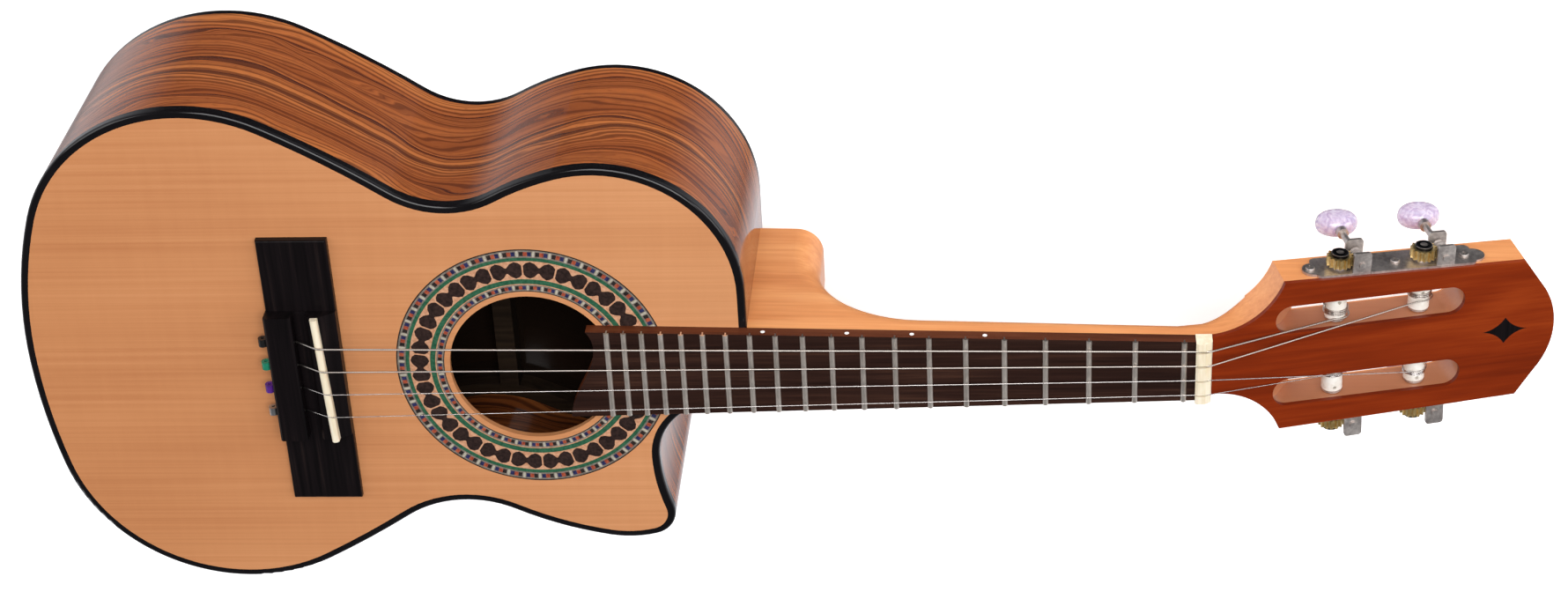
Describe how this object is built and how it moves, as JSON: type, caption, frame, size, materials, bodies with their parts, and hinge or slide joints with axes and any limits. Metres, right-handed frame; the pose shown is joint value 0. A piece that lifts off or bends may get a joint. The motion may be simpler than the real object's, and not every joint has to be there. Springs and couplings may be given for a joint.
{
  "type": "four-string cutaway cavaquinho",
  "caption": "Small steel-string acoustic instrument with cutaway body, round soundhole, tie bridge, fretted neck and slotted head with geared tuning machines",
  "frame": {"origin": "On the outer face of the back, below the centre of the soundhole", "axes": "+X towards the head, +Y to the bass side, +Z out of the soundboard"},
  "size_m": [0.61, 0.2201, 0.0997],
  "materials": {
    "spruce": "satin",
    "rosette_wood": "satin",
    "black_binding": "gloss",
    "striped_wood": "gloss",
    "pale_wood": "raw",
    "black_wood": "satin",
    "bone": "polished",
    "cedar": "satin",
    "red_veneer": "gloss",
    "dark_rosewood": "satin",
    "fret_metal": "polished",
    "white_dot": "polished",
    "wound_steel": "polished",
    "plain_steel": "polished",
    "ball_black": "gloss",
    "ball_green": "gloss",
    "ball_purple": "gloss",
    "ball_silver": "gloss",
    "nickel": "worn polish",
    "pearl": "pearly",
    "white_barrel": "polished",
    "brass_gear": "machined"
  },
  "bodies": {
    "instrument": {"soundboard": "spruce", "rosette": "rosette_wood", "front_binding": "black_binding", "back_binding": "black_binding", "back_plate": "striped_wood", "rib_bass": "striped_wood", "rib_treble": "striped_wood", "neck_block": "pale_wood", "tail_block": "pale_wood", "front_lining": "pale_wood", "back_lining": "pale_wood", "bridge_plate": "pale_wood", "front_braces": "pale_wood", "back_braces": "pale_wood", "bridge": "black_wood", "saddle": "bone", "neck": "cedar", "head_inlay": "black_wood", "head_veneer": "red_veneer", "fingerboard": "dark_rosewood", "frets": "fret_metal", "zero_fret": "fret_metal", "side_dots": "white_dot", "nut": "bone", "string_1": "wound_steel", "string_2": "wound_steel", "string_3": "plain_steel", "string_4": "plain_steel", "ball_end_1": "ball_black", "ball_end_2": "ball_green", "ball_end_3": "ball_purple", "ball_end_4": "ball_silver", "machine_plate_bass": "nickel", "machine_plate_treble": "nickel", "plate_screws_bass": "nickel", "plate_screws_treble": "nickel"},
    "knob_1": {"worm_1": "nickel", "button_1": "pearl"},
    "reel_1": {"roller_1": "nickel", "barrel_1": "white_barrel", "gear_1": "brass_gear", "winding_1": "wound_steel"},
    "knob_2": {"worm_2": "nickel", "button_2": "pearl"},
    "reel_2": {"roller_2": "nickel", "barrel_2": "white_barrel", "gear_2": "brass_gear", "winding_2": "wound_steel"},
    "knob_3": {"worm_3": "nickel", "button_3": "pearl"},
    "reel_3": {"roller_3": "nickel", "barrel_3": "white_barrel", "gear_3": "brass_gear", "winding_3": "plain_steel"},
    "knob_4": {"worm_4": "nickel", "button_4": "pearl"},
    "reel_4": {"roller_4": "nickel", "barrel_4": "white_barrel", "gear_4": "brass_gear", "winding_4": "plain_steel"}
  },
  "joints": [
    {"name": "reel_1_turn", "type": "hinge", "parent": "instrument", "child": "reel_1", "pos_m": [0.31879, 0.03312, 0.07123], "axis": [0.028, 0.9996, -0.006], "continuous": true},
    {"name": "knob_1_turn", "type": "hinge", "parent": "instrument", "child": "knob_1", "pos_m": [0.32605, 0.03711, 0.06969], "axis": [0.2079, 0, 0.9781], "continuous": true},
    {"name": "reel_2_turn", "type": "hinge", "parent": "instrument", "child": "reel_2", "pos_m": [0.35205, 0.03214, 0.06416], "axis": [0.028, 0.9996, -0.006], "continuous": true},
    {"name": "knob_2_turn", "type": "hinge", "parent": "instrument", "child": "knob_2", "pos_m": [0.3593, 0.03613, 0.06262], "axis": [0.2079, 0, 0.9781], "continuous": true},
    {"name": "reel_3_turn", "type": "hinge", "parent": "instrument", "child": "reel_3", "pos_m": [0.35205, -0.03214, 0.06416], "axis": [0.028, -0.9996, -0.006], "continuous": true},
    {"name": "knob_3_turn", "type": "hinge", "parent": "instrument", "child": "knob_3", "pos_m": [0.3593, -0.03613, 0.06262], "axis": [0.2079, 0, 0.9781], "continuous": true},
    {"name": "reel_4_turn", "type": "hinge", "parent": "instrument", "child": "reel_4", "pos_m": [0.31879, -0.03312, 0.07123], "axis": [0.028, -0.9996, -0.006], "continuous": true},
    {"name": "knob_4_turn", "type": "hinge", "parent": "instrument", "child": "knob_4", "pos_m": [0.32605, -0.03711, 0.06969], "axis": [0.2079, 0, 0.9781], "continuous": true}
  ],
  "couplings": [
    {"joint": "reel_1_turn", "follows": "knob_1_turn", "ratio": 0.071429},
    {"joint": "reel_2_turn", "follows": "knob_2_turn", "ratio": 0.071429},
    {"joint": "reel_3_turn", "follows": "knob_3_turn", "ratio": 0.071429},
    {"joint": "reel_4_turn", "follows": "knob_4_turn", "ratio": 0.071429}
  ]
}
